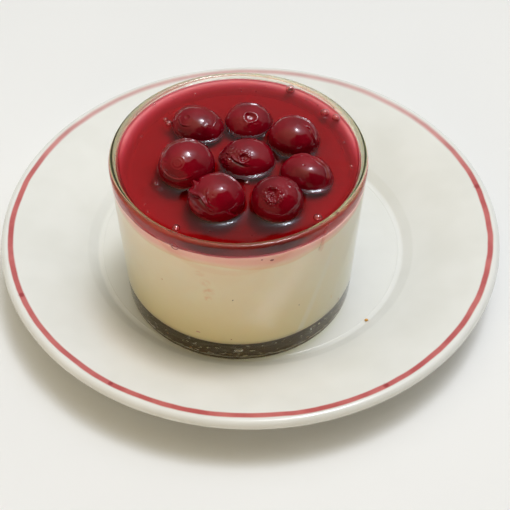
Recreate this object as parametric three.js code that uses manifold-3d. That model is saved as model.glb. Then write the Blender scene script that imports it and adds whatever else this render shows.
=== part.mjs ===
// A dessert served in its glass: set white cream, a layer of clear cherry jelly and whole
// pitted cherries, standing off-centre on a small rimmed plate with a coloured edge line.
// Millimetres, +Z up. The origin is the middle of the plate's foot ring, on the table.
import * as THREE from "three";
import { mergeVertices } from "three/addons/utils/BufferGeometryUtils.js";
import Module from "manifold-3d";

// Plate: heights are above the table
const PLATE_RADIUS = 82.5;
const PLATE_WELL_RADIUS = 51.3;
const PLATE_WELL_HEIGHT = 7;
const PLATE_SHOULDER_RADIUS = 54.6;
const PLATE_SHOULDER_RISE = 2;
const PLATE_RIM_RISE = 10.4;
const PLATE_THICKNESS = 4;
const PLATE_LIP_RADIUS = 1.9;
const FOOT_OUTER_RADIUS = 49.8;
const FOOT_INNER_RADIUS = 46.2;
const FOOT_DEPTH = 3;
const FOOT_EDGE = 0.5;
const FOOT_FLARE = 1.8;
const SHOULDER_SAG = 0.8;
// How the rim rises: shares of the way out to the lip and up to its top
const RIM_CURVE = [
  [0.22, 0.285],
  [0.52, 0.645],
  [0.83, 0.915],
];

// Glass: a low tumbler with a heavy base, its axis off the plate's
const GLASS_X = -3.6;
const GLASS_Y = -15.8;
const GLASS_HEIGHT = 54.7;
const GLASS_BASE_RADIUS = 36.1;
const GLASS_RIM_RADIUS = 38.85;
const GLASS_WALL = 2.3;
const GLASS_FLOOR = 7;
const GLASS_PUSH_UP = 0.8;
const GLASS_BEARING_RADIUS = 33.5;
// Inside the bearing, the underside rises at the first radius and is high at the second
const GLASS_HOLLOW_EDGE = GLASS_BEARING_RADIUS - 1;
const GLASS_HOLLOW_FLAT = GLASS_BEARING_RADIUS - 5;
const GLASS_HOLLOW_SHARE = 0.8;
const GLASS_INNER_FILLET = 3;
const GLASS_HEEL = 1.3;

// Contents: heights are above the glass's underside
const JELLY_LEVEL = 53.4;
const JELLY_AT_WALL = 54;
const CREAM_LEVEL = 48.4;
const CREAM_AT_WALL = 49.6;
const MENISCUS_REACH = 3.2;

// Clearance between pieces that touch, and round a cherry, whose facets take up part of it
const GAP = 0.3;
const SOCKET_GAP = 0.5;

// Facets
const CORNER_STEPS = 3;
const SURFACE_STEPS = 3;
const GLASS_LIP_STEPS = 6;
const PLATE_LIP_STEPS = 4;
const PLATE_TOP_STEPS = 9;
const PLATE_UNDER_STEPS = 6;
const PLATE_SIDES = 56;
const GLASS_SIDES = 48;
const FILLING_SIDES = 48;
const CHERRY_SIDES = 14;
const CHERRY_RINGS = 9;

// A cherry's stem hollow and the slight dent opposite: depth as a share of the fruit's half
// size, and the angle in radians over which it fades
const STEM_HOLLOW = { depth: 0.2, spread: 0.36 };
const TIP_DENT = { depth: 0.03, spread: 0.3 };

// Cherries: place from the glass's axis, height of the middle above the jelly, half sizes
// along, across and up, the turn of the long side, and where the stem hollow faces
const CHERRIES = [
  { x: -12.4, y: 13.45, up: -0.3, half: [8.3, 6.95, 6.05], turn: -25, stem: [200, 25] },
  { x: 3.1, y: 15.6, up: -0.5, half: [7.45, 6.95, 5.7], turn: 0, stem: [277, 65] },
  { x: 16.6, y: 6.85, up: 1.1, half: [7.8, 7.2, 6.55], turn: -20, stem: [60, 10] },
  { x: -15.3, y: -6.6, up: 2.5, half: [8.4, 7.95, 7.45], turn: 10, stem: [215, 20] },
  { x: 2.6, y: -1.8, up: -0.1, half: [8.35, 7.3, 6.3], turn: 0, stem: [259, 54] },
  { x: 20.3, y: -8.4, up: -0.2, half: [8.05, 6.6, 6.0], turn: -25, stem: [340, 15] },
  { x: -6.1, y: -20.45, up: 2.35, half: [8.15, 7.6, 7.1], turn: 0, stem: [170, 30] },
  { x: 11.2, y: -20.85, up: 2.2, half: [7.6, 7.1, 6.75], turn: -5, stem: [255, 55] },
];

const wasm = await Module();
wasm.setup();

// ---- Helpers -----------------------------------------------------------------------------

// Points of a round stretch in the profile plane, between two angles in degrees
function arc(centreR, centreZ, radius, fromDeg, toDeg, steps) {
  const points = [];
  for (let i = 0; i <= steps; i++) {
    const angle = THREE.MathUtils.degToRad(fromDeg + ((toDeg - fromDeg) * i) / steps);
    const r = centreR + radius * Math.cos(angle);
    const z = centreZ + radius * Math.sin(angle);
    points.push(new THREE.Vector2(r, z));
  }
  return points;
}

// A smooth line through a few [radius, height] points
function smooth(points, steps) {
  const curve = new THREE.SplineCurve(points.map(([r, z]) => new THREE.Vector2(r, z)));
  return curve.getPoints(steps);
}

// A profile turned about +Z
function turned(profile, sides) {
  return new THREE.LatheGeometry(profile, sides).rotateX(Math.PI / 2);
}

function toSolid(geometry) {
  const bare = geometry.clone();
  bare.deleteAttribute("normal");
  bare.deleteAttribute("uv");
  const merged = mergeVertices(bare, 1e-4);
  return new wasm.Manifold(
    new wasm.Mesh({
      numProp: 3,
      vertProperties: new Float32Array(merged.attributes.position.array),
      triVerts: new Uint32Array(merged.index.array),
    }),
  );
}

function toGeometry(solid) {
  const mesh = solid.getMesh();
  const geometry = new THREE.BufferGeometry();
  geometry.setAttribute("position", new THREE.BufferAttribute(mesh.vertProperties, 3));
  geometry.setIndex(new THREE.BufferAttribute(mesh.triVerts, 1));
  geometry.computeVertexNormals();
  return geometry;
}

function material(color, roughness, extra = {}) {
  return new THREE.MeshStandardMaterial({ color, roughness, metalness: 0, ...extra });
}

function named(name, geometry, finish) {
  const mesh = new THREE.Mesh(geometry, finish);
  mesh.name = name;
  return mesh;
}

// ---- Plate -------------------------------------------------------------------------------

// Flat well, a soft step up, a rising rim with a rounded lip, and a foot ring below
function plateProfile() {
  const lipR = PLATE_RADIUS - PLATE_LIP_RADIUS;
  const lipZ = PLATE_WELL_HEIGHT + PLATE_RIM_RISE - PLATE_LIP_RADIUS;
  const shoulderZ = PLATE_WELL_HEIGHT + PLATE_SHOULDER_RISE;
  const rim = RIM_CURVE.map(([out, up]) => [
    PLATE_SHOULDER_RADIUS + (lipR - PLATE_SHOULDER_RADIUS) * out,
    shoulderZ + (PLATE_RIM_RISE - PLATE_SHOULDER_RISE) * up,
  ]);
  const top = smooth(
    [
      [PLATE_WELL_RADIUS, PLATE_WELL_HEIGHT],
      [(PLATE_WELL_RADIUS + PLATE_SHOULDER_RADIUS) / 2, PLATE_WELL_HEIGHT + SHOULDER_SAG],
      [PLATE_SHOULDER_RADIUS, shoulderZ],
      ...rim,
      [lipR, lipZ + PLATE_LIP_RADIUS],
    ],
    PLATE_TOP_STEPS,
  );
  const lip = arc(lipR, lipZ, PLATE_LIP_RADIUS, 68, -75, PLATE_LIP_STEPS);
  const below = smooth(
    [
      ...rim.map(([r, z]) => [r, z - PLATE_THICKNESS]).reverse(),
      [PLATE_SHOULDER_RADIUS, shoulderZ - PLATE_THICKNESS],
      [FOOT_OUTER_RADIUS + FOOT_FLARE, FOOT_DEPTH + FOOT_EDGE],
      [FOOT_OUTER_RADIUS + FOOT_EDGE, FOOT_EDGE],
    ],
    PLATE_UNDER_STEPS,
  );
  const foot = [
    new THREE.Vector2(FOOT_OUTER_RADIUS, 0),
    new THREE.Vector2(FOOT_INNER_RADIUS, 0),
    new THREE.Vector2(FOOT_INNER_RADIUS - FOOT_EDGE, FOOT_EDGE),
    new THREE.Vector2(FOOT_INNER_RADIUS - FOOT_FLARE, FOOT_DEPTH - FOOT_EDGE),
    new THREE.Vector2(FOOT_INNER_RADIUS - 2 * FOOT_FLARE, FOOT_DEPTH),
    new THREE.Vector2(0, FOOT_DEPTH),
  ];
  return [new THREE.Vector2(0, PLATE_WELL_HEIGHT), ...top, ...lip, ...below, ...foot].reverse();
}

function makePlate() {
  const china = material(0xf1efe6, 0.15);
  return named("plate", turned(plateProfile(), PLATE_SIDES), china);
}

// ---- Glass -------------------------------------------------------------------------------

const outerRadius = (height) =>
  GLASS_BASE_RADIUS + ((GLASS_RIM_RADIUS - GLASS_BASE_RADIUS) * height) / GLASS_HEIGHT;
const innerRadius = (height) => outerRadius(height) - GLASS_WALL;

// Up the outside, over the rounded lip, down the inside and across the thick floor
function glassProfile() {
  const lipR = GLASS_WALL / 2;
  const lipZ = GLASS_HEIGHT - lipR;
  const heelR = outerRadius(GLASS_HEEL) - GLASS_HEEL;
  const heel = arc(heelR, GLASS_HEEL, GLASS_HEEL, -75, 0, CORNER_STEPS);
  const lip = arc(outerRadius(lipZ) - lipR, lipZ, lipR, 0, 180, GLASS_LIP_STEPS);
  const filletZ = GLASS_FLOOR + GLASS_INNER_FILLET;
  const filletR = innerRadius(filletZ) - GLASS_INNER_FILLET;
  const fillet = arc(filletR, filletZ, GLASS_INNER_FILLET, 0, -90, CORNER_STEPS);
  return [
    new THREE.Vector2(0, GLASS_PUSH_UP),
    new THREE.Vector2(GLASS_HOLLOW_FLAT, GLASS_PUSH_UP * GLASS_HOLLOW_SHARE),
    new THREE.Vector2(GLASS_HOLLOW_EDGE, 0),
    ...heel,
    ...lip,
    ...fillet,
    new THREE.Vector2(0, GLASS_FLOOR),
  ];
}

function makeGlass() {
  const clear = material(0xdfe6dc, 0.04, { transparent: true, opacity: 0.35 });
  return named("glass", turned(glassProfile(), GLASS_SIDES), clear);
}

// ---- Cherries ----------------------------------------------------------------------------

// How far the skin is sunk at an angle from the middle of a hollow
function sunk({ depth, spread }, angle) {
  return depth * Math.exp(-((angle / spread) ** 2));
}

// A round fruit with a stem hollow at its top pole and a slight dent at the other
function cherryProfile() {
  const profile = [];
  for (let i = 0; i <= CHERRY_RINGS; i++) {
    const angle = (Math.PI * i) / CHERRY_RINGS;
    const radius = 1 - sunk(STEM_HOLLOW, angle) - sunk(TIP_DENT, Math.PI - angle);
    profile.push(new THREE.Vector2(radius * Math.sin(angle), radius * Math.cos(angle)));
  }
  profile[0].x = 0;
  profile[CHERRY_RINGS].x = 0;
  return profile.reverse();
}

function cherryGeometry({ half, stem, turn }) {
  const [heading, lift] = stem.map(THREE.MathUtils.degToRad);
  const geometry = turned(cherryProfile(), CHERRY_SIDES);
  geometry.rotateY(Math.PI / 2 - lift);
  geometry.rotateZ(heading - THREE.MathUtils.degToRad(turn));
  return geometry.scale(...half);
}

function placeCherry(mesh, { x, y, up, turn }) {
  mesh.position.set(x, y, JELLY_LEVEL + up);
  mesh.rotation.z = THREE.MathUtils.degToRad(turn);
}

function makeCherry(cherry, index) {
  const finish = material(0x5c0d12, 0.12);
  const mesh = named(`cherry_${index + 1}`, cherryGeometry(cherry), finish);
  placeCherry(mesh, cherry);
  return mesh;
}

// The hole that a cherry leaves in the filling round it
function cherrySocket(cherry) {
  const geometry = new THREE.SphereGeometry(1, CHERRY_SIDES, CHERRY_RINGS);
  geometry.scale(...cherry.half.map((size) => size + SOCKET_GAP));
  const mesh = new THREE.Mesh(geometry);
  placeCherry(mesh, cherry);
  mesh.updateMatrix();
  return toSolid(geometry.applyMatrix4(mesh.matrix));
}

// ---- Filling -----------------------------------------------------------------------------

// A top surface that is level in the middle and climbs to the wall, from wall to axis
function surface(level, atWall, steps) {
  const wall = innerRadius(atWall) - GAP;
  const points = [];
  for (let i = 0; i <= steps; i++) {
    const share = i / steps;
    const height = level + (atWall - level) * (1 - share) ** 2;
    points.push(new THREE.Vector2(wall - MENISCUS_REACH * share, height));
  }
  points.push(new THREE.Vector2(0, level));
  return points;
}

function cut(profile, sockets) {
  const whole = toSolid(turned(profile, FILLING_SIDES));
  const rest = sockets.reduce((solid, socket) => solid.subtract(socket), whole);
  return toGeometry(rest);
}

function makeCream(sockets) {
  const filletZ = GLASS_FLOOR + GLASS_INNER_FILLET;
  const radius = GLASS_INNER_FILLET - GAP;
  const filletR = innerRadius(filletZ) - GLASS_INNER_FILLET;
  const corner = arc(filletR, filletZ, radius, -90, 0, CORNER_STEPS);
  const profile = [
    new THREE.Vector2(0, GLASS_FLOOR + GAP),
    ...corner,
    ...surface(CREAM_LEVEL, CREAM_AT_WALL, SURFACE_STEPS),
  ];
  return named("cream", cut(profile, sockets), material(0xefe7cf, 0.5));
}

function makeJelly(sockets) {
  const under = surface(CREAM_LEVEL + GAP, CREAM_AT_WALL + GAP, SURFACE_STEPS).reverse();
  const profile = [...under, ...surface(JELLY_LEVEL, JELLY_AT_WALL, SURFACE_STEPS)];
  const finish = material(0x8c1620, 0.06, { transparent: true, opacity: 0.85 });
  return named("cherry_jelly", cut(profile, sockets), finish);
}

// ---- The whole ---------------------------------------------------------------------------

const sockets = CHERRIES.map(cherrySocket);
const served = new THREE.Group();
served.position.set(GLASS_X, GLASS_Y, PLATE_WELL_HEIGHT + GAP);
served.add(makeGlass(), makeCream(sockets), makeJelly(sockets));
served.add(...CHERRIES.map(makeCherry));

const dessert = new THREE.Group();
dessert.add(makePlate(), served);

export default dessert;
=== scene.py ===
# A dessert served in its glass on a small plate: white cream, cherry jelly and whole pitted
# cherries. It is built up as it is served: plate, glass, cream, jelly, cherries, small things.
import math

import bmesh
import bpy
import numpy as np
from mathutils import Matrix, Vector


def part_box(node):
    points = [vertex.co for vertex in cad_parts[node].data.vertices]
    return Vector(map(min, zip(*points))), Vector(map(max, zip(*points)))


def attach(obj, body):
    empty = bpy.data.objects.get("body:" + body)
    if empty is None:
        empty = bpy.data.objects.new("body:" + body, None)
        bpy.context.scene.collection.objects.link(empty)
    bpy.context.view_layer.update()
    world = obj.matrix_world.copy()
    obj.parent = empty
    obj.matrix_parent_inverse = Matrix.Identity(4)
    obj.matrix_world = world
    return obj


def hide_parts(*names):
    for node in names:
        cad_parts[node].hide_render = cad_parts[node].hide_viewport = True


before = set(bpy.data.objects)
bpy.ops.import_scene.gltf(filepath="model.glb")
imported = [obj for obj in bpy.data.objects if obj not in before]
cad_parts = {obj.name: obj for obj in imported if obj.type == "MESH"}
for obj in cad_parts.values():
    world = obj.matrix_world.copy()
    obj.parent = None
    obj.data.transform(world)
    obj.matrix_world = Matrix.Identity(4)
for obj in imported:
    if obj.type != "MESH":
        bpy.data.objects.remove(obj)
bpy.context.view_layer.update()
MM = 0.001

# ---- Plate ---------------------------------------------------------------------------
# A dessert plate of glazed white china, jiggered in one piece. A red line is banded round
# the rim under the glaze. The foot ring that it stands on is wiped bare before firing.

plate_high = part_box("plate")[1]
PLATE_RADIUS = plate_high.x
PLATE_TOP = plate_high.z
WELL_HEIGHT = 7.0 * MM
WELL_RADIUS = 51.3 * MM
SHOULDER_RADIUS = 54.6 * MM
SHOULDER_HEIGHT = WELL_HEIGHT + 2.0 * MM
PLATE_THICKNESS = 4.0 * MM
LIP = 1.9 * MM
FOOT_RADIUS = 49.8 * MM
FOOT_WIDTH = 3.6 * MM
FOOT_DEPTH = 3.0 * MM
RIM_CURVE = [(0.22, 0.285), (0.52, 0.645), (0.83, 0.915)]
LINE_INNER = 78.3 * MM
LINE_OUTER = 80.1 * MM
# Where the loaded brush rested: degrees round the rim, and how far across
BRUSH_RESTS = [(12.1, 1.5), (-59.6, 1.3), (-155.7, 1.4), (-121.6, 1.1)]
PLATE_SIDES = 256
GLAZE = (0.80, 0.80, 0.745), (0.84, 0.84, 0.79)


def arc(centre, radius, start, end, steps):
    """Points of a round stretch in the profile plane, between two angles in degrees."""
    angles = np.radians(np.linspace(start, end, steps + 1))
    return [(centre[0] + radius * math.cos(a), centre[1] + radius * math.sin(a)) for a in angles]


def smooth_line(points, steps):
    """A smooth line through points, with so many steps in each span."""
    spots = np.array([points[0], *points, points[-1]], float)
    line = []
    for before, start, end, after in zip(spots, spots[1:], spots[2:], spots[3:]):
        for t in np.linspace(0, 1, steps, endpoint=False):
            pull = (end - before) / 2, (after - start) / 2
            cubic = 2 * start - 2 * end + pull[0] + pull[1]
            square = -3 * start + 3 * end - 2 * pull[0] - pull[1]
            line.append(tuple(cubic * t**3 + square * t**2 + pull[0] * t + start))
    return [*line, tuple(spots[-1])]


def bend(before, corner, after, reach, steps):
    """Points that round a corner off, starting and ending so far from it."""
    points = []
    ways = [((end[0] - corner[0]), (end[1] - corner[1])) for end in (before, after)]
    ways = [(x * reach / math.hypot(x, y), y * reach / math.hypot(x, y)) for x, y in ways]
    for number in range(steps + 1):
        share = number / steps
        first, last = (1 - share) ** 2, share**2
        points.append(tuple(corner[k] + first * ways[0][k] + last * ways[1][k] for k in (0, 1)))
    return points


def circle(sides):
    """Unit directions evenly round an upright axis."""
    angles = np.linspace(0, 2 * math.pi, sides, endpoint=False)
    return np.stack([np.cos(angles), np.sin(angles)], -1)


def turn(profile, sides, centre=(0, 0)):
    """A closed skin turned about an upright axis from a profile that starts and ends on it."""
    around = circle(sides)
    rings = [np.column_stack([np.add(centre, r * around), np.full(sides, z)]) for r, z in profile[1:-1]]
    start, end = (*centre, profile[0][1]), (*centre, profile[-1][1])
    return close_rings(rings, start, end)


def close_rings(rings, start, end):
    """A closed skin from rings of points with the same count, and a point at each end."""
    sides, last = len(rings[0]), 1 + len(rings) * len(rings[0])
    faces = []
    for side in range(sides):
        after = (side + 1) % sides
        faces.append((0, 1 + after, 1 + side))
        for ring in range(len(rings) - 1):
            low, high = 1 + ring * sides, 1 + (ring + 1) * sides
            faces.append((low + side, low + after, high + after, high + side))
        top = last - sides
        faces.append((top + side, top + after, last))
    return np.concatenate([[start], *rings, [end]]), faces


def make_piece(name, skin, finish, slot, *nodes):
    """A smooth mesh piece that rides on the body and stands for the named nodes."""
    points, faces = skin
    mesh = bpy.data.meshes.new(name)
    mesh.from_pydata(points.tolist(), [], faces)
    mesh.shade_smooth()
    mesh.materials.append(finish)
    piece = bpy.data.objects.new(name, mesh)
    bpy.context.scene.collection.objects.link(piece)
    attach(piece, "root")
    if nodes:
        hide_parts(*nodes)
    return piece


def fill_inputs(tree, node, inputs):
    """Gives a node's inputs their values, or links them to the outputs that feed them."""
    for key, value in inputs.items():
        if isinstance(value, bpy.types.NodeSocket):
            tree.links.new(value, node.inputs[key])
        else:
            node.inputs[key].default_value = value
    return node


def add(tree, kind, inputs=None, **settings):
    """A shader node with its settings and inputs."""
    node = tree.nodes.new(kind)
    for key, value in settings.items():
        setattr(node, key, value)
    return fill_inputs(tree, node, inputs or {})


def use(tree, group, inputs):
    """A node group's outputs, with its inputs given."""
    node = tree.nodes.new("ShaderNodeGroup")
    node.node_tree = group
    return fill_inputs(tree, node, inputs).outputs


def calc(tree, operation, *values):
    """The result of one sum on numbers or outputs."""
    return add(tree, "ShaderNodeMath", dict(enumerate(values)), operation=operation).outputs["Value"]


def times(tree, first, *others):
    """The product of numbers or outputs."""
    for other in others:
        first = calc(tree, "MULTIPLY", first, other)
    return first


def fade(tree, value, none, full):
    """A share that rises softly from 0 to 1 while a value goes from one limit to another."""
    limits = {"Value": value, "From Min": none, "From Max": full}
    return add(tree, "ShaderNodeMapRange", limits, interpolation_type="SMOOTHSTEP").outputs["Result"]


def blend(tree, share, first, second):
    """Two colours mixed by a share."""
    colours = [c if isinstance(c, bpy.types.NodeSocket) else (*c, 1) for c in (first, second)]
    mixed = add(tree, "ShaderNodeMix", {0: share, 6: colours[0], 7: colours[1]}, data_type="RGBA")
    return mixed.outputs[2]


def start_finish(name):
    """A new material's tree, shader and output, and the piece's own coordinates."""
    finish = bpy.data.materials.new(name)
    finish.use_nodes = True
    tree = finish.node_tree
    tree.nodes.clear()
    output = add(tree, "ShaderNodeOutputMaterial")
    shader = add(tree, "ShaderNodeBsdfPrincipled")
    tree.links.new(shader.outputs["BSDF"], output.inputs["Surface"])
    place = add(tree, "ShaderNodeTexCoord").outputs["Object"]
    return finish, tree, shader, output, place


def start_group(name, inputs, outputs):
    """A node group with sockets of the given kinds, and its given and resulting sockets."""
    group = bpy.data.node_groups.new(name, "ShaderNodeTree")
    for key, kind in inputs:
        group.interface.new_socket(key, in_out="INPUT", socket_type="NodeSocket" + kind)
    for key, kind in outputs:
        group.interface.new_socket(key, in_out="OUTPUT", socket_type="NodeSocket" + kind)
    given = group.nodes.new("NodeGroupInput")
    result = group.nodes.new("NodeGroupOutput")
    return group, given.outputs, result.inputs


# Drifting tone: soft noise, from 0 to 1, as firing, setting and stains leave it
drift, given, result = start_group(
    "drifting_tone", [("Place", "Vector"), ("Scale", "Float"), ("Detail", "Float")], [("Tone", "Float")])
broad = add(drift, "ShaderNodeTexNoise",
            {"Vector": given["Place"], "Scale": given["Scale"], "Detail": given["Detail"]})
drift.links.new(fade(drift, broad.outputs["Fac"], 0.3, 0.7), result["Tone"])

# Specks: round dots at random places, from 0 to 1, such as pinholes, bubbles and dust
specks, given, result = start_group(
    "specks", [("Place", "Vector"), ("Scale", "Float"), ("Size", "Float"), ("Share", "Float")],
    [("Mask", "Float")])
cells = add(specks, "ShaderNodeTexVoronoi", {"Vector": given["Place"], "Scale": given["Scale"]})
near = fade(specks, cells.outputs["Distance"], given["Size"], 0.0)
picked = add(specks, "ShaderNodeSeparateColor", {"Color": cells.outputs["Color"]}).outputs["Red"]
few = calc(specks, "LESS_THAN", picked, given["Share"])
specks.links.new(times(specks, near, few), result["Mask"])

# Ripples: a surface's normal, bent by fine soft unevenness
ripples, given, result = start_group(
    "ripples", [("Place", "Vector"), ("Scale", "Float"), ("Detail", "Float"), ("Strength", "Float"),
                ("Distance", "Float")], [("Normal", "Vector")])
fine = add(ripples, "ShaderNodeTexNoise",
           {"Vector": given["Place"], "Scale": given["Scale"], "Detail": given["Detail"]})
bent = add(ripples, "ShaderNodeBump",
           {"Height": fine.outputs["Fac"], "Strength": given["Strength"], "Distance": given["Distance"]})
ripples.links.new(bent.outputs["Normal"], result["Normal"])

# Spot: a round mark about one place, from 0 to 1
spot, given, result = start_group(
    "spot", [("Place", "Vector"), ("Middle", "Vector"), ("Size", "Float")], [("Mask", "Float")])
away = add(spot, "ShaderNodeVectorMath", {0: given["Place"], 1: given["Middle"]}, operation="DISTANCE")
inner = times(spot, given["Size"], 0.3)
spot.links.new(fade(spot, away.outputs["Value"], given["Size"], inner), result["Mask"])


def drifting(tree, place, scale, detail):
    return use(tree, drift, {"Place": place, "Scale": scale, "Detail": detail})["Tone"]


def speckled(tree, place, scale, size, share):
    return use(tree, specks, {"Place": place, "Scale": scale, "Size": size, "Share": share})["Mask"]


def ripple(tree, shader, place, scale, detail, strength, distance):
    uneven = use(tree, ripples, {"Place": place, "Scale": scale, "Detail": detail,
                                 "Strength": strength, "Distance": distance})
    tree.links.new(uneven["Normal"], shader.inputs["Normal"])


def plate_profile():
    lip_radius = PLATE_RADIUS - LIP
    lip_height = PLATE_TOP - LIP
    rim = [
        (SHOULDER_RADIUS + (lip_radius - SHOULDER_RADIUS) * out,
         SHOULDER_HEIGHT + (PLATE_TOP - SHOULDER_HEIGHT) * up)
        for out, up in RIM_CURVE
    ]
    floor, shoulder = (WELL_RADIUS, WELL_HEIGHT), (SHOULDER_RADIUS, SHOULDER_HEIGHT)
    beads = [(WELL_RADIUS - back * MM, WELL_HEIGHT + up * MM)
             for back, up in [(1.9, 0), (1.72, 0.02), (1.5, 0.09), (1.28, 0.02), (1.1, 0)]]
    top = [(WELL_RADIUS - 8 * MM, WELL_HEIGHT), *smooth_line(beads, 5),
           *bend((0, WELL_HEIGHT), floor, shoulder, 0.6 * MM, 8),
           *bend(floor, shoulder, rim[0], 0.5 * MM, 8),
           *smooth_line([shoulder, *rim, (lip_radius, PLATE_TOP)], 12)[4:]]
    lip = arc((lip_radius, lip_height), LIP, 86, -75, 16)
    edge, flare = 0.5 * MM, 1.8 * MM
    under = smooth_line(
        [*[(r, z - PLATE_THICKNESS) for r, z in reversed(rim)],
         (SHOULDER_RADIUS, SHOULDER_HEIGHT - PLATE_THICKNESS),
         (FOOT_RADIUS + flare, FOOT_DEPTH + edge), (FOOT_RADIUS + edge, edge)], 6)
    inner = FOOT_RADIUS - FOOT_WIDTH
    foot = [(FOOT_RADIUS, 0), (FOOT_RADIUS - FOOT_WIDTH / 2, 0), (inner, 0)]
    recess = smooth_line(
        [(inner - edge, edge), (inner - flare, FOOT_DEPTH - edge), (inner - 2 * flare, FOOT_DEPTH)], 5)
    whole = [(0, WELL_HEIGHT), (WELL_RADIUS * 0.5, WELL_HEIGHT), *top, *lip, *under, *foot, *recess,
             (0, FOOT_DEPTH)]
    return whole[::-1]


def make_china():
    finish, tree, shader, output, place = start_finish("glazed_china")
    flat = add(tree, "ShaderNodeVectorMath", {0: place, 1: (1, 1, 0)}, operation="MULTIPLY").outputs["Vector"]
    radius = add(tree, "ShaderNodeVectorMath", {0: flat}, operation="LENGTH").outputs["Value"]
    parts = add(tree, "ShaderNodeSeparateXYZ", {"Vector": place}).outputs
    height = parts["Z"]
    tone = drifting(tree, place, 60.0, 2.0)
    # The red line wavers a little and its edges bleed into the glaze
    waver = calc(tree, "MULTIPLY_ADD", tone, 0.3 * MM, -0.15 * MM)
    along = calc(tree, "ADD", radius, waver)
    along = calc(tree, "ABSOLUTE", calc(tree, "SUBTRACT", along, (LINE_INNER + LINE_OUTER) / 2))
    # At the back the brush ran dry, and the line is paler and softer
    dry = fade(tree, parts["Y"], 15 * MM, 70 * MM)
    bleed = calc(tree, "MULTIPLY_ADD", dry, 0.6 * MM, 0.3 * MM)
    half = (LINE_OUTER - LINE_INNER) / 2
    line = fade(tree, along, calc(tree, "ADD", half, bleed), calc(tree, "SUBTRACT", half, bleed))
    above = calc(tree, "GREATER_THAN", height, PLATE_TOP - 1.5 * MM)
    line = times(tree, line, above, calc(tree, "MULTIPLY_ADD", dry, -0.4, 1.0))
    glaze = blend(tree, tone, GLAZE[0], GLAZE[1])
    pinholes = speckled(tree, place, 110.0, 0.035, 0.12)
    glazed = blend(tree, pinholes, glaze, (0.5, 0.48, 0.42))
    load = drifting(tree, place, 130.0, 3.0)
    paint = blend(tree, load, (0.60, 0.16, 0.15), (0.50, 0.095, 0.095))
    for around, across in BRUSH_RESTS:
        angle, middle = math.radians(around), (LINE_INNER + LINE_OUTER) / 2
        rest = (middle * math.cos(angle), middle * math.sin(angle), 0)
        pool = use(tree, spot, {"Place": flat, "Middle": rest, "Size": across * MM})["Mask"]
        paint = blend(tree, pool, paint, (0.36, 0.045, 0.05))
        line = calc(tree, "MAXIMUM", line, times(tree, pool, above))
    banded = blend(tree, line, glazed, paint)
    bare = fade(tree, height, 0.5 * MM, 0.2 * MM)
    fired = blend(tree, bare, banded, (0.62, 0.58, 0.5))
    tree.links.new(fired, shader.inputs["Base Color"])
    gloss = calc(tree, "MULTIPLY_ADD", bare, 0.7, 0.05)
    tree.links.new(gloss, shader.inputs["Roughness"])
    shader.inputs["IOR"].default_value = 1.5
    ripple(tree, shader, place, 220.0, 3.0, 0.03, 0.2 * MM)
    return finish


make_piece("dessert_plate", turn(plate_profile(), PLATE_SIDES), make_china(),
           "plate_china", "plate")

# ---- Glass ---------------------------------------------------------------------------
# A low pressed tumbler of clear soda glass, slightly green in its thickness, with a heavy
# base. The lip is fire-polished round. The hollow underside is pebbled by the mould.

glass_low, glass_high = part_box("glass")
GLASS_X = (glass_low.x + glass_high.x) / 2
GLASS_Y = (glass_low.y + glass_high.y) / 2
GLASS_FOOT = glass_low.z
GLASS_RIM = glass_high.z
GLASS_RIM_RADIUS = 38.85 * MM
GLASS_BASE_RADIUS = 36.1 * MM
GLASS_WALL = 2.3 * MM
GLASS_FLOOR = GLASS_FOOT + 7.0 * MM
GLASS_PUSH_UP = 0.8 * MM
GLASS_BEARING = 32.6 * MM
GLASS_FILLET = 3.0 * MM
GLASS_HEEL = 2.6 * MM
GLASS_SIDES = 300
WALL_SLOPE = (GLASS_RIM_RADIUS - GLASS_BASE_RADIUS) / (GLASS_RIM - GLASS_FOOT)
JELLY_LEVEL = GLASS_FOOT + 53.4 * MM
PEBBLES = [(2.4 * MM, 0.34 * MM), (1.1 * MM, 0.20 * MM)]
SEEDS = 150


def lumps(points, size, seed=0):
    """Smooth random bumps between about -1 and 1, so far across, at rows of x, y, z."""
    spots = np.asarray(points) / size + 37.0 * seed
    cell = np.floor(spots).astype(np.int64)
    part = spots - cell
    ease = part**3 * (part * (part * 6 - 15) + 10)
    total = np.zeros(len(spots))
    for corner in np.ndindex(2, 2, 2):
        key = (cell + corner) @ np.array([73856093, 19349663, 83492791])
        key = (key ^ (key >> 13)) * 1274126177 & 0x7FFFFFFF
        key = (key ^ (key >> 15)) * 668265263 & 0x7FFFFFFF
        around = (key % 1021) / 1021 * 2 * math.pi
        up = (key // 1021 % 1019) / 1019 * 2 - 1
        flat = np.sqrt(1 - up**2)
        slope = np.stack([flat * np.cos(around), flat * np.sin(around), up], -1)
        share = np.prod(np.where(corner, ease, 1 - ease), axis=1)
        total += share * np.sum(slope * (part - corner), axis=1)
    return total * 1.6


def ball(detail):
    """An even round net of triangles, as unit directions and faces."""
    net = bmesh.new()
    bmesh.ops.create_icosphere(net, subdivisions=detail, radius=1)
    points = np.array([v.co for v in net.verts])
    faces = [tuple(v.index for v in f.verts) for f in net.faces]
    net.free()
    return points / np.linalg.norm(points, axis=1)[:, None], faces


def joined(skins):
    """Several skins as one."""
    points, faces, count = [], [], 0
    for spots, sides in skins:
        points.append(spots)
        faces += [tuple(count + i for i in side) for side in sides]
        count += len(spots)
    return np.concatenate(points), faces


def outer_radius(height):
    share = (height - GLASS_FOOT) / (GLASS_RIM - GLASS_FOOT)
    return GLASS_BASE_RADIUS + (GLASS_RIM_RADIUS - GLASS_BASE_RADIUS) * share


def inner_radius(height):
    return outer_radius(height) - GLASS_WALL


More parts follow.
